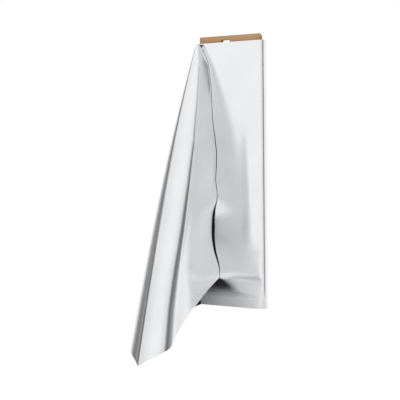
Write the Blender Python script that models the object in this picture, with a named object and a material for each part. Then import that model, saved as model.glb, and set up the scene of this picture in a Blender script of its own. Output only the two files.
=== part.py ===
"""A bolt of silver foil-faced sheet with a black backing, wound on a flat corrugated board.

The sheet makes four loose turns around the board, and its free end leaves the back
left edge of the roll, swings round in one large loop and laps over the front face.

Frame: metres, +Z up. The origin is the middle of the top rim of the board's hang slot.
+X runs along the width of the front face, and the front face looks to -Y.
"""

import math

import bmesh
import bpy
from mathutils import Vector

MM = 0.001

# ---- board (flat box folded from one corrugated blank) ----
BOARD_LEFT = -77.0
BOARD_RIGHT = 101.0
BOARD_T = 12.7
BOARD_TOP = 10.5
BOARD_BOTTOM = -688.0
BACK_STEP = 4.5          # the back panel ends this much lower at the top
PANEL_T = 3.0
FOLD_GAP = 0.3
RIB_X = (-36.0, 52.0)    # folded ribs that keep the two panels apart
FLAP_W = 24.0
FLAP_T = 2.6

# ---- hang slot ----
SLOT_W = 26.0
SLOT_H = 12.0
SLOT_R = 2.5

# ---- sheet ----
SHEET_T = 0.8
SHEET_TOP = -6.5
SHEET_BOTTOM = -692.5
TURNS = 4
LEFT_0, LEFT_STEP = -77.9, 1.15      # centre line of the left end, and what each turn adds
RIGHT_0, RIGHT_STEP = 104.0, 2.2     # the winding is slack at the right end
HALF_0, HALF_STEP = 7.4, 1.2         # half thickness on the centre line
RADIUS_0, RADIUS_STEP = 1.5, 1.2     # corner radius on the centre line
ARC_STEPS = 4

# ---- free end ----
PEEL_GAP = 0.9                       # between the wound part and the free end's own edge
ROOT_X = -79.6                       # where the free end leaves the roll
ROOT_Y = HALF_0 + HALF_STEP * (TURNS - 0.23)
LAP_Y = -12.5                        # the lapped edge lies on the front face
GRID_U, GRID_V = 26, 12
# Landmarks around the lower rim of the free end, from the lapped corner, along the
# cut end to its lowest corner, and back along the selvage to the roll.
RIM = (
    (-22.0, LAP_Y, -620.0),
    (-8.0, -145.0, -667.0),
    (-3.0, -255.0, -733.0),
    (-18.0, -303.0, -770.0),
    (-83.0, -303.0, -805.0),
    (-146.0, -242.0, -786.0),
    (-194.0, -172.0, -784.0),
    (-224.0, -95.0, -775.0),
    (-216.0, -15.0, -757.0),
    (-166.0, 33.0, -727.0),
    (ROOT_X, ROOT_Y, SHEET_BOTTOM),
)
# Landmarks around its upper edge, where it wraps the left end of the roll.
CROWN = (
    (-70.0, LAP_Y, -20.0),
    (-82.0, -14.5, -12.5),
    (-90.0, -9.5, -9.0),
    (-94.0, -2.0, -7.5),
    (-92.0, 7.0, -6.8),
    (ROOT_X, ROOT_Y, SHEET_TOP),
)
LAP_RISE = 24.0                      # how far the lapped edge runs out near the top
LAP_DECAY = 60.0
BELLY = 11.0                         # outward bow of the loop at mid height


def clear_scene():
    for obj in list(bpy.data.objects):
        bpy.data.objects.remove(obj, do_unlink=True)


def material(name, colour, roughness, metallic):
    made = bpy.data.materials.new(name)
    made.use_nodes = True
    shader = made.node_tree.nodes["Principled BSDF"]
    shader.inputs["Base Color"].default_value = (*colour, 1.0)
    shader.inputs["Roughness"].default_value = roughness
    shader.inputs["Metallic"].default_value = metallic
    made.diffuse_color = (*colour, 1.0)
    return made


def add_mesh(name, points, faces, finish, parent=None):
    mesh = bpy.data.meshes.new(name)
    mesh.from_pydata([Vector(p) * MM for p in points], [], faces)
    built = bmesh.new()
    built.from_mesh(mesh)
    bmesh.ops.recalc_face_normals(built, faces=built.faces)
    built.to_mesh(mesh)
    built.free()
    obj = bpy.data.objects.new(name, mesh)
    bpy.context.scene.collection.objects.link(obj)
    if finish:
        mesh.materials.append(finish)
    if parent:
        obj.parent = parent
        obj.matrix_parent_inverse = parent.matrix_world.inverted()
    return obj


def empty(name, location, parent=None):
    obj = bpy.data.objects.new(name, None)
    bpy.context.scene.collection.objects.link(obj)
    obj.location = Vector(location) * MM
    if parent:
        obj.parent = parent
    bpy.context.view_layer.update()
    return obj


def prism(name, outline, axis_points, finish, parent=None):
    """Extrude a closed outline, given as points at the first and the last level."""
    low = [axis_points[0](x, y) for x, y in outline]
    high = [axis_points[1](x, y) for x, y in outline]
    n = len(outline)
    faces = [tuple(range(n)), tuple(range(2 * n - 1, n - 1, -1))]
    faces += [(i, (i + 1) % n, n + (i + 1) % n, n + i) for i in range(n)]
    return add_mesh(name, low + high, faces, finish, parent)


def plate(name, x0, x1, y0, y1, z0, top_y0, top_y1, finish, parent):
    """An upright plate whose top may slope from y0 to y1."""
    points = [
        (x0, y0, z0), (x1, y0, z0), (x1, y1, z0), (x0, y1, z0),
        (x0, y0, top_y0), (x1, y0, top_y0), (x1, y1, top_y1), (x0, y1, top_y1),
    ]
    faces = [(0, 1, 2, 3), (4, 5, 6, 7), (0, 1, 5, 4), (1, 2, 6, 5), (2, 3, 7, 6), (3, 0, 4, 7)]
    return add_mesh(name, points, faces, finish, parent)


def slot_cutter():
    half, radius = SLOT_W / 2, SLOT_R
    outline = []
    for cx, cz, start in (
        (half - radius, -radius, 0),
        (-half + radius, -radius, 90),
        (-half + radius, -SLOT_H + radius, 180),
        (half - radius, -SLOT_H + radius, 270),
    ):
        for step in range(4):
            a = math.radians(start + 30 * step)
            outline.append((cx + radius * math.cos(a), cz + radius * math.sin(a)))
    cutter = prism(
        "slot_cutter",
        outline,
        (lambda x, z: (x, -20.0, z), lambda x, z: (x, 20.0, z)),
        None,
    )
    cutter.hide_render = True
    cutter.display_type = "WIRE"
    return cutter


def cut_slot(obj, cutter):
    cut = obj.modifiers.new("hang_slot", "BOOLEAN")
    cut.operation = "DIFFERENCE"
    cut.solver = "EXACT"
    cut.object = cutter


def build_board(root, kraft):
    front, back = -BOARD_T / 2, BOARD_T / 2
    cutter = slot_cutter()
    front_panel = plate("board_front_panel", BOARD_LEFT, BOARD_RIGHT, front, front + PANEL_T,
                        BOARD_BOTTOM, BOARD_TOP, BOARD_TOP, kraft, root)
    back_panel = plate("board_back_panel", BOARD_LEFT, BOARD_RIGHT, back - PANEL_T, back,
                       BOARD_BOTTOM, BOARD_TOP - BACK_STEP, BOARD_TOP - BACK_STEP, kraft, root)
    cut_slot(front_panel, cutter)
    cut_slot(back_panel, cutter)
    inner_front = front + PANEL_T + FOLD_GAP
    inner_back = back - PANEL_T - FOLD_GAP
    top_f, top_b = BOARD_TOP - 0.4, BOARD_TOP - BACK_STEP
    plate("board_left_wall", BOARD_LEFT, BOARD_LEFT + PANEL_T, inner_front, inner_back,
          BOARD_BOTTOM, top_f, top_b, kraft, root)
    plate("board_right_wall", BOARD_RIGHT - PANEL_T, BOARD_RIGHT, inner_front, inner_back,
          BOARD_BOTTOM, top_f, top_b, kraft, root)
    left_in = BOARD_LEFT + PANEL_T + FOLD_GAP
    plate("board_glue_flap", left_in, left_in + FLAP_W, inner_front, inner_front + FLAP_T,
          BOARD_BOTTOM + 2.0, BOARD_TOP - 6.0, BOARD_TOP - 6.0, kraft, root)
    for name, x in zip(("board_rib_left", "board_rib_right"), RIB_X):
        plate(name, x - PANEL_T / 2, x + PANEL_T / 2, inner_front, inner_back,
              BOARD_BOTTOM + 1.0, BOARD_TOP - 7.0, BOARD_TOP - 7.0, kraft, root)


def winding():
    """Centre line of the wound sheet seen from above, as (x, y, nx, ny)."""
    line = []
    for turn in range(TURNS):
        left = LEFT_0 - LEFT_STEP * (turn + 0.04)
        right = RIGHT_0 + RIGHT_STEP * (turn + 0.52)
        back_before = HALF_0 + HALF_STEP * (turn - 0.23)
        front = HALF_0 + HALF_STEP * (turn + 0.27)
        back_after = HALF_0 + HALF_STEP * (turn + 0.77)
        radius = RADIUS_0 + RADIUS_STEP * turn
        corners = (
            (left + radius, back_before - radius),
            (left + radius, -front + radius),
            (right - radius, -front + radius),
            (right - radius, back_after - radius),
        )
        for corner, (cx, cy) in enumerate(corners):
            for step in range(ARC_STEPS + 1):
                a = math.radians(90 + 90 * corner + 90 * step / ARC_STEPS)
                line.append((cx + radius * math.cos(a), cy + radius * math.sin(a),
                             math.cos(a), math.sin(a)))
    line.append((ROOT_X + PEEL_GAP, ROOT_Y, 0.0, 1.0))
    return line


def build_roll(body, foil):
    line = winding()
    points = []
    for z in (SHEET_BOTTOM, SHEET_TOP):
        for side in (-0.5, 0.5):
            points += [(x + side * SHEET_T * nx, y + side * SHEET_T * ny, z) for x, y, nx, ny in line]
    n = len(line)
    faces = []
    for i in range(n - 1):
        for a, b in ((0, 1), (3, 2), (2, 0), (1, 3)):
            faces.append((a * n + i, a * n + i + 1, b * n + i + 1, b * n + i))
    faces.append((0, n, 3 * n, 2 * n))
    faces.append((n - 1, 2 * n - 1, 4 * n - 1, 3 * n - 1))
    obj = add_mesh("wound_sheet", points, faces, foil, body)
    obj.data.shade_smooth()
    obj.data.set_sharp_from_angle(angle=math.radians(35))


def curve_through(points, t):
    """Catmull-Rom curve through the points, spaced by chord length, at t from 0 to 1."""
    knots = [0.0]
    for a, b in zip(points[:-1], points[1:]):
        knots.append(knots[-1] + math.dist(a, b))
    s = t * knots[-1]
    k = 0
    while k < len(points) - 2 and s > knots[k + 1]:
        k += 1
    f = (s - knots[k]) / (knots[k + 1] - knots[k])
    p1, p2 = Vector(points[k]), Vector(points[k + 1])
    p0 = Vector(points[k - 1]) if k else p1 * 2 - p2
    p3 = Vector(points[k + 2]) if k + 2 < len(points) else p2 * 2 - p1
    return 0.5 * (2 * p1 + (p2 - p0) * f + (2 * p0 - 5 * p1 + 4 * p2 - p3) * f * f
                  + (3 * p1 - p0 - 3 * p2 + p3) * f ** 3)


def free_end_point(u, v):
    """u runs from the lapped edge (0) to the root (1), v from the top to the rim."""
    top = curve_through(CROWN, u)
    low = curve_through(RIM, u)
    point = top.lerp(low, v)
    # The lapped edge runs quickly out over the front face, then straight down.
    lap = max(0.0, 1.0 - u / 0.30) ** 2
    drop = (top.z - point.z)
    point.x += lap * LAP_RISE * (1.0 - math.exp(-drop / LAP_DECAY)) * (1.0 - v)
    # The loop bows outwards between its root and the lapped edge.
    out = math.sin(math.pi * u) ** 2 * math.sin(math.pi * min(1.0, v ** 0.8)) * BELLY
    point += Vector((-0.90, -0.44, 0.0)) * out
    if u <= 0.0:
        point.y = LAP_Y
    if point.y > LAP_Y and u < 0.2 and point.x > -84.0:
        point.y = LAP_Y
    return point


def build_free_end(body, foil):
    points, faces = [], []
    for j in range(GRID_V + 1):
        v = (j / GRID_V) ** 1.25
        for i in range(GRID_U + 1):
            points.append(tuple(free_end_point(i / GRID_U, v)))
    row = GRID_U + 1
    for j in range(GRID_V):
        for i in range(GRID_U):
            a = j * row + i
            faces.append((a, a + 1, a + 1 + row, a + row))
    obj = add_mesh("free_end", points, faces, foil, body)
    thick = obj.modifiers.new("sheet_thickness", "SOLIDIFY")
    thick.thickness = SHEET_T * MM
    thick.offset = 0.0
    obj.data.shade_smooth()


def main():
    clear_scene()
    kraft = material("kraft_corrugated", (0.53, 0.33, 0.17), 0.85, 0.0)
    foil = material("silver_foil_sheet", (0.80, 0.80, 0.82), 0.28, 1.0)
    foil_end = material("silver_foil_free_end", (0.80, 0.80, 0.82), 0.28, 1.0)
    board = empty("board_frame", (0.0, 0.0, 0.0))
    roll = empty("roll_slide_axis", (0.0, 0.0, 0.0), board)
    swing = empty("free_end_hinge_axis", (ROOT_X, ROOT_Y, 0.0), roll)
    build_board(board, kraft)
    build_roll(roll, foil)
    build_free_end(swing, foil_end)


main()
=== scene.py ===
"""Visual model of a bolt of silver foil-faced sheet on a flat corrugated board."""

import math

import bmesh
import bpy
import numpy as np
from mathutils import Matrix, Vector, noise

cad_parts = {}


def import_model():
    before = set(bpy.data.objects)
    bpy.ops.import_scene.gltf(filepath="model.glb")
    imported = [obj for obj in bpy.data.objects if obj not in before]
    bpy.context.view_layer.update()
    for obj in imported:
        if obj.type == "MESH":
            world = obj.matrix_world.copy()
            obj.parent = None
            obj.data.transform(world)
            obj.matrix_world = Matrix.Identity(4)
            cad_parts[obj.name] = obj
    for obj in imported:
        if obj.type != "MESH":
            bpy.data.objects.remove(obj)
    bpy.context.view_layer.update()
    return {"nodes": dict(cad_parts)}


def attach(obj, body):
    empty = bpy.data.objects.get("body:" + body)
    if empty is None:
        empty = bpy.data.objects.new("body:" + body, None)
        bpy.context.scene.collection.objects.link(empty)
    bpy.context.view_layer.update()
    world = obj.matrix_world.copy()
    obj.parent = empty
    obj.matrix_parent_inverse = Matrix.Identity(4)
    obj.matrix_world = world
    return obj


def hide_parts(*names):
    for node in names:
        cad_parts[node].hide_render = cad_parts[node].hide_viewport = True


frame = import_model()

MM = 0.001
SHEET_T = 0.8
SHEET_TOP, SHEET_BOTTOM = -6.5, -692.5
TURNS = 4
LEFT_0, LEFT_STEP = -77.9, 1.15
RIGHT_0, RIGHT_STEP = 104.0, 2.2
HALF_0, HALF_STEP = 7.4, 1.2
RADIUS_0, RADIUS_STEP = 1.5, 1.2
ROOT_X = -79.6
ROOT_Y = HALF_0 + HALF_STEP * (TURNS - 0.23)
LAP_Y = -12.5


# --------------------------------------------------------------------------- nodes
class Nodes:
    """Small helper for building a material's node tree."""

    def __init__(self, name):
        self.mat = bpy.data.materials.new(name)
        self.mat.use_nodes = True
        self.tree = self.mat.node_tree
        self.tree.nodes.clear()
        self.out = self.add("ShaderNodeOutputMaterial")
        self.shader = self.add("ShaderNodeBsdfPrincipled")
        self.link(self.shader.outputs[0], self.out.inputs[0])
        self.coords = self.add("ShaderNodeTexCoord").outputs["Object"]

    def add(self, kind, **settings):
        node = self.tree.nodes.new(kind)
        for key, value in settings.items():
            setattr(node, key, value)
        return node

    def link(self, a, b):
        self.tree.links.new(a, b)

    def mapped(self, scale, rotate=(0, 0, 0)):
        node = self.add("ShaderNodeMapping")
        self.link(self.coords, node.inputs["Vector"])
        node.inputs["Scale"].default_value = scale
        node.inputs["Rotation"].default_value = rotate
        return node.outputs[0]

    def noise(self, vector, scale, detail=3.0, rough=0.55, distortion=0.0):
        node = self.add("ShaderNodeTexNoise")
        self.link(vector, node.inputs["Vector"])
        node.inputs["Scale"].default_value = scale
        node.inputs["Detail"].default_value = detail
        node.inputs["Roughness"].default_value = rough
        node.inputs["Distortion"].default_value = distortion
        return node.outputs["Fac"]

    def voronoi(self, vector, scale, feature="F1", smooth=None):
        node = self.add("ShaderNodeTexVoronoi", feature=feature)
        self.link(vector, node.inputs["Vector"])
        node.inputs["Scale"].default_value = scale
        return node.outputs["Distance"]

    def ramp(self, value, stops, interpolation="LINEAR"):
        node = self.add("ShaderNodeValToRGB")
        self.link(value, node.inputs[0])
        node.color_ramp.interpolation = interpolation
        elements = node.color_ramp.elements
        while len(elements) < len(stops):
            elements.new(0.5)
        for element, (pos, colour) in zip(elements, stops):
            element.position = pos
            element.color = (*colour, 1.0) if len(colour) == 3 else colour
        return node.outputs[0]

    def math(self, kind, a, b=None):
        node = self.add("ShaderNodeMath", operation=kind)
        for socket, value in zip(node.inputs, (a, b)):
            if value is None:
                continue
            if isinstance(value, (int, float)):
                socket.default_value = value
            else:
                self.link(value, socket)
        return node.outputs[0]

    def span(self, value, low, high):
        node = self.add("ShaderNodeMapRange")
        self.link(value, node.inputs["Value"])
        node.inputs["To Min"].default_value = low
        node.inputs["To Max"].default_value = high
        return node.outputs[0]

    def between(self, value, low, high):
        node = self.add("ShaderNodeMapRange", interpolation_type="SMOOTHSTEP")
        self.link(value, node.inputs["Value"])
        node.inputs["From Min"].default_value = low
        node.inputs["From Max"].default_value = high
        return node.outputs[0]

    def bump(self, height, strength, distance, normal=None):
        node = self.add("ShaderNodeBump")
        self.link(height, node.inputs["Height"])
        node.inputs["Strength"].default_value = strength
        node.inputs["Distance"].default_value = distance
        if normal is not None:
            self.link(normal, node.inputs["Normal"])
        return node.outputs[0]


def grey(v):
    return (v, v, v)


def foil_material():
    """Silver foil face: bright, with a fine pebble grain and faint handling marks."""
    n = Nodes("silver_foil_face")
    s = n.shader
    s.inputs["Metallic"].default_value = 1.0
    s.inputs["Specular IOR Level"].default_value = 0.5
    even = n.mapped((1, 1, 1))
    cloudy = n.noise(even, 9.0, 4.0)
    grain = n.noise(even, 330.0, 3.0, 0.65)
    pebble = n.voronoi(even, 700.0)
    marks = n.noise(n.mapped((60, 60, 420)), 1.0, 2.0, 0.5)
    tone = n.math("ADD", n.math("MULTIPLY", cloudy, 0.5), n.math("MULTIPLY", grain, 0.5))
    colour = n.ramp(tone, [(0.30, (0.80, 0.81, 0.83)), (0.70, (0.90, 0.905, 0.915))])
    n.link(colour, s.inputs["Base Color"])
    rough = n.math("ADD", n.span(cloudy, 0.11, 0.16), n.span(grain, -0.02, 0.04))
    # Painted light: the front of the wound part is made rougher and less metallic towards its hem, so it shows an even
    # light grey there instead of a dark reflection.
    place = n.add("ShaderNodeSeparateXYZ")
    n.link(n.coords, place.inputs[0])
    low = n.between(place.outputs["Z"], -0.636, -0.674)
    front = n.between(place.outputs["Y"], -0.050, -0.022)
    front = n.math("MULTIPLY", front, n.between(place.outputs["Y"], 0.004, -0.006))
    hem_painted_tone = n.math("MULTIPLY", low, front)
    rough = n.math("ADD", rough, n.math("MULTIPLY", hem_painted_tone, 0.15))
    n.link(n.math("SUBTRACT", 1.0, n.math("MULTIPLY", hem_painted_tone, 0.66)), s.inputs["Metallic"])
    n.link(rough, s.inputs["Roughness"])
    first = n.bump(n.math("ADD", grain, n.math("MULTIPLY", pebble, 0.4)), 0.30, 0.0005)
    n.link(n.bump(marks, 0.02, 0.0004, first), s.inputs["Normal"])
    return n.mat


def backing_material():
    """Black backing: matt, with a fine knit-like grain."""
    n = Nodes("black_backing")
    s = n.shader
    grain = n.noise(n.mapped((1, 1, 1)), 700.0, 3.0, 0.6)
    rows = n.noise(n.mapped((900, 900, 260)), 1.0, 1.0)
    n.link(n.ramp(grain, [(0.3, grey(0.008)), (0.75, grey(0.022))]), s.inputs["Base Color"])
    n.link(n.span(grain, 0.62, 0.85), s.inputs["Roughness"])
    s.inputs["Specular IOR Level"].default_value = 0.25
    n.link(n.bump(n.math("ADD", grain, rows), 0.25, 0.0004), s.inputs["Normal"])
    return n.mat


def edge_material():
    """Cut edge: a pale line of foil coat over a dark core."""
    n = Nodes("sheet_cut_edge")
    s = n.shader
    fuzz = n.noise(n.mapped((1, 1, 1)), 800.0, 3.0, 0.6)
    n.link(n.ramp(fuzz, [(0.35, grey(0.18)), (0.65, grey(0.52))]), s.inputs["Base Color"])
    n.link(n.span(fuzz, 0.5, 0.75), s.inputs["Roughness"])
    n.link(n.bump(fuzz, 0.2, 0.0003), s.inputs["Normal"])
    return n.mat


def kraft_material(name, dark=1.0):
    """Kraft liner: brown paper with fibres, faint flute lines and flecks."""
    n = Nodes(name)
    s = n.shader
    fibres = n.noise(n.mapped((900, 900, 120)), 1.0, 4.0, 0.65)
    cloud = n.noise(n.mapped((1, 1, 1)), 22.0, 4.0)
    flecks = n.noise(n.mapped((1, 1, 1)), 420.0, 2.0, 0.7)
    wave = n.add("ShaderNodeTexWave", wave_type="BANDS", bands_direction="X", wave_profile="SIN")
    n.link(n.mapped((1, 0, 0)), wave.inputs["Vector"])
    wave.inputs["Scale"].default_value = 50.0
    wave.inputs["Distortion"].default_value = 0.0
    tone = n.math("ADD", n.math("MULTIPLY", fibres, 0.45), n.math("MULTIPLY", cloud, 0.35))
    tone = n.math("ADD", tone, n.math("MULTIPLY", flecks, 0.2))
    # dark scales the whole colour down: below 1 it gives painted shade, a darker copy of the same liner.
    low = tuple(c * dark for c in (0.43, 0.245, 0.115))
    high = tuple(c * dark for c in (0.60, 0.375, 0.20))
    n.link(n.ramp(tone, [(0.30, low), (0.68, high)]), s.inputs["Base Color"])
    n.link(n.span(fibres, 0.78, 0.92), s.inputs["Roughness"])
    s.inputs["Specular IOR Level"].default_value = 0.2
    first = n.bump(fibres, 0.18, 0.0005)
    n.link(n.bump(wave.outputs["Fac"], 0.10, 0.0004, first), s.inputs["Normal"])
    return n.mat


def floor_material():
    n = Nodes("pale_floor")
    s = n.shader
    cloud = n.noise(n.mapped((1, 1, 1)), 1.5, 2.0)
    n.link(n.ramp(cloud, [(0.3, grey(0.93)), (0.7, grey(0.95))]), s.inputs["Base Color"])
    n.link(n.span(cloud, 0.85, 0.9), s.inputs["Roughness"])
    s.inputs["Emission Color"].default_value = (1, 1, 1, 1)
    s.inputs["Emission Strength"].default_value = 0.2
    return n.mat


# --------------------------------------------------------------------------- meshes
def mesh_object(name, points, faces, mats, smooth_angle=None, face_mats=None):
    mesh = bpy.data.meshes.new(name)
    mesh.from_pydata([tuple(c * MM for c in p) for p in points], [], faces)
    for m in mats:
        mesh.materials.append(m)
    if face_mats is not None:
        mesh.polygons.foreach_set("material_index", face_mats)
    mesh.update()
    mesh.shade_smooth()
    if smooth_angle:
        mesh.set_sharp_from_angle(angle=math.radians(smooth_angle))
    obj = bpy.data.objects.new(name, mesh)
    bpy.context.scene.collection.objects.link(obj)
    return obj


def sheet_from_grid(name, centre, normals, mats, thickness=SHEET_T):
    """A closed sheet of constant thickness around a grid of points (rows, columns).

    normals point to the foil side. Materials: 0 foil face, 1 backing, 2 cut edge.
    """
    rows, cols, _ = centre.shape
    half = thickness / 2
    outer = (centre + normals * half).reshape(-1, 3)
    inner = (centre - normals * half).reshape(-1, 3)
    points = np.concatenate([outer, inner])
    n = rows * cols
    index = np.arange(n).reshape(rows, cols)
    a, b, c, d = index[:-1, :-1], index[:-1, 1:], index[1:, 1:], index[1:, :-1]
    quads = np.stack([a, b, c, d], -1).reshape(-1, 4)
    p = points[quads[len(quads) // 2]]
    face_normal = np.cross(p[2] - p[0], p[3] - p[1])
    mid = quads[len(quads) // 2][0]
    if np.dot(face_normal, normals.reshape(-1, 3)[mid]) < 0:
        quads = quads[:, ::-1]
    back = quads[:, ::-1] + n
    loop = np.concatenate([index[0, :], index[1:, -1], index[-1, -2::-1], index[-2:0:-1, 0]])
    nxt = np.roll(loop, -1)
    # The rim goes the other way round from the faces that it meets.
    edges = {}
    for q in quads:
        for i in range(4):
            edges[(q[i], q[(i + 1) % 4])] = True
    rim = []
    for i, j in zip(loop.tolist(), nxt.tolist()):
        if (i, j) in edges:
            rim.append((j, i, i + n, j + n))
        else:
            rim.append((i, j, j + n, i + n))
    faces = quads.tolist() + back.tolist() + [tuple(r) for r in rim]
    kinds = [0] * len(quads) + [1] * len(back) + [2] * len(rim)
    obj = mesh_object(name, points, faces, mats, None, kinds)
    obj.data.set_sharp_from_angle(angle=math.radians(50))
    return obj


def grid_normals(centre):
    du = np.gradient(centre, axis=1)
    dv = np.gradient(centre, axis=0)
    n = np.cross(du, dv)
    n /= np.maximum(np.linalg.norm(n, axis=-1, keepdims=True), 1e-9)
    return n


def smoothstep(x):
    x = np.clip(x, 0.0, 1.0)
    return x * x * (3 - 2 * x)


def fbm(p, seed, octaves=3):
    value, amp, size = 0.0, 1.0, 1.0
    for k in range(octaves):
        value += amp * noise.noise(Vector((p[0] * size + seed, p[1] * size - seed, p[2] * size + 7.3 * k)))
        amp *= 0.5
        size *= 2.0
    return value


def catmull(points, t, closed_knots=None):
    """Catmull-Rom through points (N, 3), chord spaced, at parameters t in 0..1 (array)."""
    pts = np.asarray(points, float)
    knots = np.concatenate([[0], np.cumsum(np.linalg.norm(np.diff(pts, axis=0), axis=1))])
    knots /= knots[-1]
    k = np.clip(np.searchsorted(knots, t, side="right") - 1, 0, len(pts) - 2)
    f = ((t - knots[k]) / (knots[k + 1] - knots[k]))[:, None]
    p1, p2 = pts[k], pts[k + 1]
    p0 = np.where((k > 0)[:, None], pts[np.maximum(k - 1, 0)], 2 * p1 - p2)
    p3 = np.where((k + 2 < len(pts))[:, None], pts[np.minimum(k + 2, len(pts) - 1)], 2 * p2 - p1)
    return 0.5 * (2 * p1 + (p2 - p0) * f + (2 * p0 - 5 * p1 + 4 * p2 - p3) * f**2 + (3 * p1 - p0 - 3 * p2 + p3) * f**3)


# --------------------------------------------------------------------------- roll
def winding(arc_steps, flat_steps, first=0, last=TURNS):
    line = []
    for turn in range(first, last):
        left = LEFT_0 - LEFT_STEP * (turn + 0.04)
        right = RIGHT_0 + RIGHT_STEP * (turn + 0.52)
        back_before = HALF_0 + HALF_STEP * (turn - 0.23)
        front = HALF_0 + HALF_STEP * (turn + 0.27)
        back_after = HALF_0 + HALF_STEP * (turn + 0.77)
        radius = RADIUS_0 + RADIUS_STEP * turn
        soft = 8.0 if turn == TURNS - 1 else radius
        corners = (
            (left + radius, back_before - radius),
            (left + radius, -front + radius),
            (right - soft, -front + soft),
            (right - soft, back_after - soft),
        )
        flats = (3, flat_steps, 4, flat_steps)
        for corner, (cx, cy) in enumerate(corners):
            radius = soft if corner > 1 else RADIUS_0 + RADIUS_STEP * turn
            reach = soft if corner in (1, 2) else radius
            for step in range(arc_steps + 1):
                a = math.radians(90 + 90 * corner + 90 * step / arc_steps)
                line.append((cx + radius * math.cos(a), cy + radius * math.sin(a), math.cos(a), math.sin(a)))
            if corner < 3:
                nx, ny = corners[corner + 1]
                end = (nx + reach * math.cos(a), ny + reach * math.sin(a))
            elif turn + 1 < last:
                r2 = RADIUS_0 + RADIUS_STEP * (turn + 1)
                end = (LEFT_0 - LEFT_STEP * (turn + 1.04) + r2, back_after)
            else:
                nx = LEFT_0 - LEFT_STEP * (turn + 1.04) + RADIUS_0 + RADIUS_STEP * (turn + 1)
                end = (ROOT_X + 0.9 if last == TURNS else nx + 0.5, back_after)
            x0, y0 = line[-1][:2]
            for k in range(1, flats[corner]):
                f = k / flats[corner]
                line.append((x0 + (end[0] - x0) * f, y0 + (end[1] - y0) * f, math.cos(a), math.sin(a)))
    line.append((end[0], end[1], 0.0, 1.0))
    return np.array(line)


def bell(value, middle, width):
    return math.exp(-(((value - middle) / width) ** 2))


def front_relief(x, z):
    """Height of the front face's soft waves above its plane, in mm (positive is outwards)."""
    px = (x + 80.0) / 192.0
    d = SHEET_TOP - z
    h = 0.0
    # A soft cross crease about half way down, a swell and streaks below it, and a flared hem.
    h += 0.12 * bell(d, 388 - 10 * px, 9.0) * bell(px, 0.40, 0.35)
    h += 0.30 * bell(d, 404 - 8 * px, 11.0) * bell(px, 0.45, 0.25)
    h -= 0.45 * bell(d, 470, 30.0) * bell(px, 0.75, 0.35)
    right = float(smoothstep((px - 0.30) / 0.20))
    h += 1.5 * right * float(smoothstep((d - 540) / 45.0))
    h -= 1.9 * right * float(smoothstep((d - 592) / 26.0))
    h += 5.2 * max(0.0, (d - 622.0) / 64.0) ** 1.25
    h += 0.35 * bell(d, 638 + 16 * px, 6.0) * bell(px, 0.65, 0.30)
    h += 0.45 * fbm((px * 1.3, 0.0, d / 190.0), 3.1, 2)
    h += 0.14 * fbm((px * 3.0, 1.0, d / 40.0), 9.7, 2) * float(smoothstep((d - 150) / 200)) * float(smoothstep((px - 0.2) / 0.5))
    h += 1.8 * bell(x, 72.0, 18.0) * float(smoothstep((d - 110) / 150.0)) * float(smoothstep((560 - d) / 90.0))
    edge = smoothstep(px / 0.07) * smoothstep((1 - px) / 0.07)
    return float(h * edge)


def build_roll(mats):
    inner = winding(6, 4, 0, TURNS - 1)
    zs = np.linspace(SHEET_BOTTOM, SHEET_TOP, 9)
    centre = np.zeros((len(zs), len(inner), 3))
    normal = np.zeros_like(centre)
    for j, z in enumerate(zs):
        centre[j, :, 0], centre[j, :, 1], centre[j, :, 2] = inner[:, 0], inner[:, 1], z
        normal[j, :, 0], normal[j, :, 1] = inner[:, 2], inner[:, 3]
    turns = sheet_from_grid("sheet_inner_turns", centre, normal, mats)

    outer = winding(10, 46, TURNS - 1, TURNS)
    levels = 180
    zs = np.linspace(SHEET_BOTTOM, SHEET_TOP, levels)
    centre = np.zeros((len(zs), len(outer), 3))
    for j, z in enumerate(zs):
        for i, (x, y, nx, ny) in enumerate(outer):
            relief = 0.0
            if y < -10.8 and ny < -0.9:
                relief = front_relief(x, z)
            elif y > 10.8 and ny > 0.9:
                edge = smoothstep((x + 79.0) / 30.0) * smoothstep((106.0 - x) / 20.0)
                relief = float(edge) * (0.5 * fbm((x / 120.0, 5.0, z / 150.0), 21.0, 2) + 0.15)
            else:
                relief = 0.25 * fbm((x / 30.0, y / 30.0, z / 55.0), 5.0, 2)
            relief = max(relief, -0.5) if y < 0 else max(relief, -0.3)
            centre[j, i] = (x + nx * relief, y + ny * relief, z)
        wobble = 0.5 * noise.noise(Vector((0.3, 0.2, z / 90.0)))
        centre[j, :, 2] += 0.0 * wobble
    normal = grid_normals(centre)
    middle = normal[len(zs) // 2, np.argmin(np.abs(outer[:, 0]) + (outer[:, 1] > 0) * 1e3)]
    if middle[1] > 0:
        normal = -normal
    last = sheet_from_grid("sheet_outer_turn", centre, normal, mats)
    return turns, last


# --------------------------------------------------------------------------- free end
RIM_A = (
    (-22.0, LAP_Y, -620.0),
    (-15.5, -80.0, -641.5),
    (-8.0, -145.0, -667.0),
    (-4.5, -197.0, -690.0),
    (-4.0, -250.0, -729.0),
    (-4.0, -277.0, -755.0),
    (-18.0, -300.0, -769.0),
    (-51.0, -308.0, -786.0),
    (-81.0, -303.5, -804.0),
)
RIM_B = (
    (-81.0, -303.5, -804.0),
    (-99.0, -287.0, -797.0),
    (-146.0, -242.0, -785.0),
    (-194.0, -172.0, -784.0),
    (-224.0, -95.0, -775.0),
    (-216.0, -15.0, -757.0),
    (-166.0, 31.5, -727.0),
    (ROOT_X, ROOT_Y, SHEET_BOTTOM),
)
# The pinched top is the rim's plan at a small scale, so each ruling of the cone lies nearly flat
# against its neighbours, with a step forward from the back of the roll to its front face.
CROWN_SCALE = 0.058
CROWN_Z = ((0.0, -20.0), (0.06, -14.0), (0.2, -9.5), (0.5, -7.5), (1.0, SHEET_TOP))
BELLY = 11.0
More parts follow.
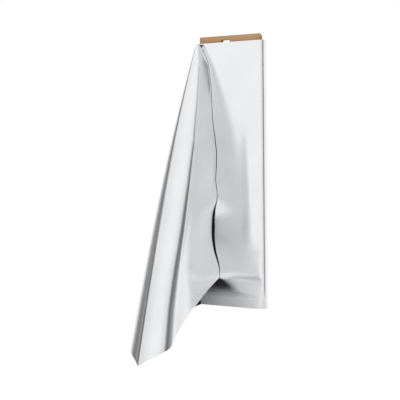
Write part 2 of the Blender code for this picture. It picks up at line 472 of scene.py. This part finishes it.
# Where the lapped edge runs on the front face: how far down, and where across.
LAP_LINE = (
    (13.0, -69.7), (17.0, -64.5), (32.0, -56.8), (51.0, -48.8), (106.0, -41.3), (166.0, -38.9),
    (202.0, -37.3), (244.0, -31.0), (283.0, -26.5), (325.0, -27.5), (356.0, -30.5), (383.0, -26.0),
    (408.0, -25.0), (427.0, -32.5), (451.0, -37.6), (509.0, -39.0), (543.0, -34.3), (578.0, -22.5),
    (592.0, -19.8), (613.5, -22.0),
)


# How wide the turned-down strip of the lapped edge is, and how far the edge stands off, down the face.
LAP_WIDTH = (
    (0.0, 3.0), (40.0, 2.5), (150.0, 1.5), (215.0, 2.0), (250.0, 5.5), (320.0, 6.5), (370.0, 4.0), (392.0, 1.5),
    (425.0, 1.0), (615.0, 1.0),
)
LAP_LIFT = (
    (0.0, 0.3), (200.0, 0.3), (250.0, 0.9), (320.0, 1.1), (372.0, 0.5), (415.0, 0.8), (440.0, 5.5), (475.0, 7.5),
    (520.0, 6.5), (560.0, 3.5), (588.0, 1.0), (615.0, 0.3),
)
FLAP = 7
# The loop's right-hand fold stands further out to the right in its upper half.
RIDGE_T = 0.32
RIDGE_OUT = (
    (0.0, 0.0), (60.0, 12.0), (155.0, 20.0), (260.0, 24.0), (365.0, 21.0), (470.0, 15.5), (575.0, 6.5), (660.0, 1.0), (800.0, 0.0),
)


def free_end_grid(nu, nv):
    """u runs from the lapped edge to the root, v from the top to the rim."""
    t = np.linspace(0, 1, nu)
    split = 0.44
    ua = t[t < split] / split
    ub = (t[t >= split] - split) / (1 - split)
    low = np.concatenate([catmull(RIM_A, ua), catmull(RIM_B, ub)])
    top = np.zeros_like(low)
    step = smoothstep((0.86 - t) / 0.42)
    reach = np.array([-70.0, LAP_Y]) - (np.array([ROOT_X, ROOT_Y]) + CROWN_SCALE * (low[0, :2] - low[-1, :2]))
    top[:, :2] = np.array([ROOT_X, ROOT_Y]) + CROWN_SCALE * (low[:, :2] - low[-1, :2]) + step[:, None] * reach
    level = np.array(CROWN_Z)
    top[:, 2] = np.interp(t, level[:, 0], level[:, 1])
    v = np.linspace(0, 1, nv) ** 1.3
    grid = top[None] * (1 - v[:, None, None]) + low[None] * v[:, None, None]
    lap = np.clip(1 - t / 0.30, 0, 1) ** 2
    depth = SHEET_TOP - grid[:, 0, 2]
    want, width, lift = (np.interp(depth, *np.array(table).T) for table in (LAP_LINE, LAP_WIDTH, LAP_LIFT))
    kernel = np.hanning(9 if nv < 200 else 15)
    kernel /= kernel.sum()
    for values in (want, width, lift):
        padded = np.pad(values, len(kernel) // 2, mode="edge")
        values[:] = np.convolve(padded, kernel, mode="valid")
    grid[:, :, 0] += lap[None] * (want - width - grid[:, 0, 0])[:, None]
    near = np.clip(1 - t / 0.10, 0, 1) ** 2
    grid[:, :, 1] -= near[None] * lift[:, None]
    ridge = np.where(t < RIDGE_T, t / RIDGE_T, 1 - smoothstep((t - RIDGE_T) / 0.16))
    grid[..., 0] += ridge[None] * np.interp(SHEET_TOP - grid[..., 2], *np.array(RIDGE_OUT).T)
    out = np.sin(math.pi * t) ** 2
    bow = np.sin(math.pi * np.minimum(1.0, v**0.8)) * BELLY
    grid[..., 0] -= 0.90 * bow[:, None] * out[None]
    grid[..., 1] -= 0.44 * bow[:, None] * out[None]
    # The strip that lies on the front face, from the cut edge in to where the sheet stands up.
    across = np.linspace(1.0, 0.0, FLAP, endpoint=False)
    strip = np.zeros((nv, FLAP, 3))
    strip[..., 0] = grid[:, :1, 0] + across[None] * width[:, None]
    strip[..., 1] = grid[:, :1, 1] + 0.10 * (1 - across)[None] * lift[:, None]
    strip[..., 2] = grid[:, :1, 2]
    return np.concatenate([strip, grid], axis=1), np.concatenate([np.zeros(FLAP), t]), v


def outward(grid, row, column):
    normal = grid_normals(grid)
    if normal[row, column] @ np.array([1.0, 0.0, 0.0]) < 0:
        normal = -normal
    return normal


def build_free_end(mats):
    nu, nv = ((300, 240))
    grid, t, v = free_end_grid(nu, nv)
    probe = FLAP + nu // 6
    normal = outward(grid, nv // 2, probe)
    # Small dents and waves, fading out at the root and at the lapped edge.
    for j in range(nv):
        for i in range(grid.shape[1]):
            p = grid[j, i]
            fade = float(smoothstep((1 - t[i]) / 0.08) * smoothstep(v[j] / 0.10))
            lapfade = float(smoothstep(t[i] / 0.06))
            h = 0.35 * fbm((t[i] * 5.0, 0.3, v[j] * 1.6), 13.0, 2) * fade * lapfade
            web = math.exp(-(((t[i] - 0.09) / 0.10) ** 2))
            h += 0.7 * web * fbm((t[i] * 3.0, 2.0, (SHEET_TOP - p[2]) / 75.0), 31.0, 2) * fade * lapfade
            grid[j, i] = p + normal[j, i] * h
    return sheet_from_grid("sheet_free_end", grid, outward(grid, nv // 2, probe), mats)


# --------------------------------------------------------------------------- board
def finish_board():
    kraft = kraft_material("kraft_liner")
    # The glue flap and ribs inside the board get a darker copy of the kraft: painted shade.
    kraft_painted_shade = kraft_material("kraft_liner_painted_shade", 0.62)
    for node in ("board_front_panel", "board_back_panel", "board_left_wall", "board_right_wall"):
        put(node, kraft)
    for node in ("board_glue_flap", "board_rib_left", "board_rib_right"):
        put(node, kraft_painted_shade)


def put(node, mat):
    obj = frame["nodes"][node]
    if isinstance(obj, str):
        obj = bpy.data.objects[obj]
    if obj.material_slots:
        for s in obj.material_slots:
            s.material = mat
    else:
        obj.data.materials.append(mat)


# --------------------------------------------------------------------------- stage
def camera():
    az, pitch, roll = math.radians(31.5), math.radians(3.1227), math.radians(-0.6286)
    across, height, distance = -0.0731, -0.2713, 2.6224
    right = Vector((math.cos(az), math.sin(az), 0))
    back = Vector((math.sin(az) * math.cos(pitch), -math.cos(az) * math.cos(pitch), math.sin(pitch)))
    up = back.cross(right)
    r2 = math.cos(roll) * right + math.sin(roll) * up
    u2 = -math.sin(roll) * right + math.cos(roll) * up
    place = Vector((math.sin(az), -math.cos(az), 0)) * distance + right * across + Vector((0, 0, height))
    data = bpy.data.cameras.new("camera")
    data.sensor_width = 36.0
    data.lens = 1005.0 / 400.0 * 36.0
    data.clip_end = 100.0
    cam = bpy.data.objects.new("camera", data)
    bpy.context.scene.collection.objects.link(cam)
    m = Matrix((r2, u2, back)).transposed().to_4x4()
    m.translation = place
    cam.matrix_world = m
    bpy.context.scene.camera = cam
    return cam


# Plain soft studio light, by azimuth in degrees (0 is -Y, 90 is +X): white all round, with one broad
# neutral grey flag on each side, so that the foil has something to mirror.
STUDIO = ((-180, 1.0), (-130, 1.0), (-105, 0.15), (-75, 0.9), (-30, 1.0), (45, 0.8), (80, 0.15), (115, 0.8), (145, 1.0), (180, 1.0))


def world():
    w = bpy.data.worlds.new("studio")
    bpy.context.scene.world = w
    w.use_nodes = True
    tree = w.node_tree
    tree.nodes.clear()

    def add(kind, **settings):
        node = tree.nodes.new(kind)
        for key, value in settings.items():
            setattr(node, key, value)
        return node

    def maths(kind, a, b):
        node = add("ShaderNodeMath", operation=kind)
        for socket, value in zip(node.inputs, (a, b)):
            if isinstance(value, (int, float)):
                socket.default_value = value
            else:
                tree.links.new(value, socket)
        return node.outputs[0]

    split = add("ShaderNodeSeparateXYZ")
    tree.links.new(add("ShaderNodeTexCoord").outputs["Generated"], split.inputs[0])
    x, y, z = split.outputs
    azimuth = maths("ARCTAN2", x, maths("MULTIPLY", y, -1.0))
    ring = add("ShaderNodeValToRGB")
    ring.color_ramp.interpolation = "EASE"
    tree.links.new(maths("ADD", maths("DIVIDE", azimuth, 2 * math.pi), 0.5), ring.inputs[0])
    elements = ring.color_ramp.elements
    while len(elements) < len(STUDIO):
        elements.new(0.5)
    for element, (angle, value) in zip(elements, STUDIO):
        element.position = (angle + 180.0) / 360.0
        element.color = (*grey(value), 1.0)
    # White overhead.
    high = add("ShaderNodeMapRange", interpolation_type="SMOOTHSTEP")
    tree.links.new(z, high.inputs["Value"])
    high.inputs["From Min"].default_value = 0.35
    high.inputs["From Max"].default_value = 0.85
    mix = add("ShaderNodeMix", data_type="RGBA", clamp_factor=True)
    tree.links.new(high.outputs[0], mix.inputs[0])
    tree.links.new(ring.outputs[0], mix.inputs[6])
    mix.inputs[7].default_value = (1.0, 1.0, 1.0, 1.0)
    bg = add("ShaderNodeBackground")
    tree.links.new(mix.outputs[2], bg.inputs["Color"])
    tree.links.new(bg.outputs[0], add("ShaderNodeOutputWorld").inputs[0])


def stage():
    world()
    mesh = bpy.data.meshes.new("floor")
    mesh.from_pydata([(-4, -4, -1.6), (4, -4, -1.6), (4, 4, -1.6), (-4, 4, -1.6)], [], [(0, 1, 2, 3)])
    mesh.materials.append(floor_material())
    floor = bpy.data.objects.new("floor", mesh)
    bpy.context.scene.collection.objects.link(floor)
    bpy.context.scene.view_settings.view_transform = "Standard"
    bpy.context.scene.view_settings.look = "None"


# --------------------------------------------------------------------------- build
camera()
stage()
MATS = [foil_material(), backing_material(), edge_material()]
inner_turns, outer_turn = build_roll(MATS)
free_end = build_free_end(MATS)
finish_board()

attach(inner_turns, "roll")
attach(outer_turn, "roll")
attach(free_end, "free_end")
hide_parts("wound_sheet")
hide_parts("wound_sheet")
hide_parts("free_end")
ONE_TURN = 0.43
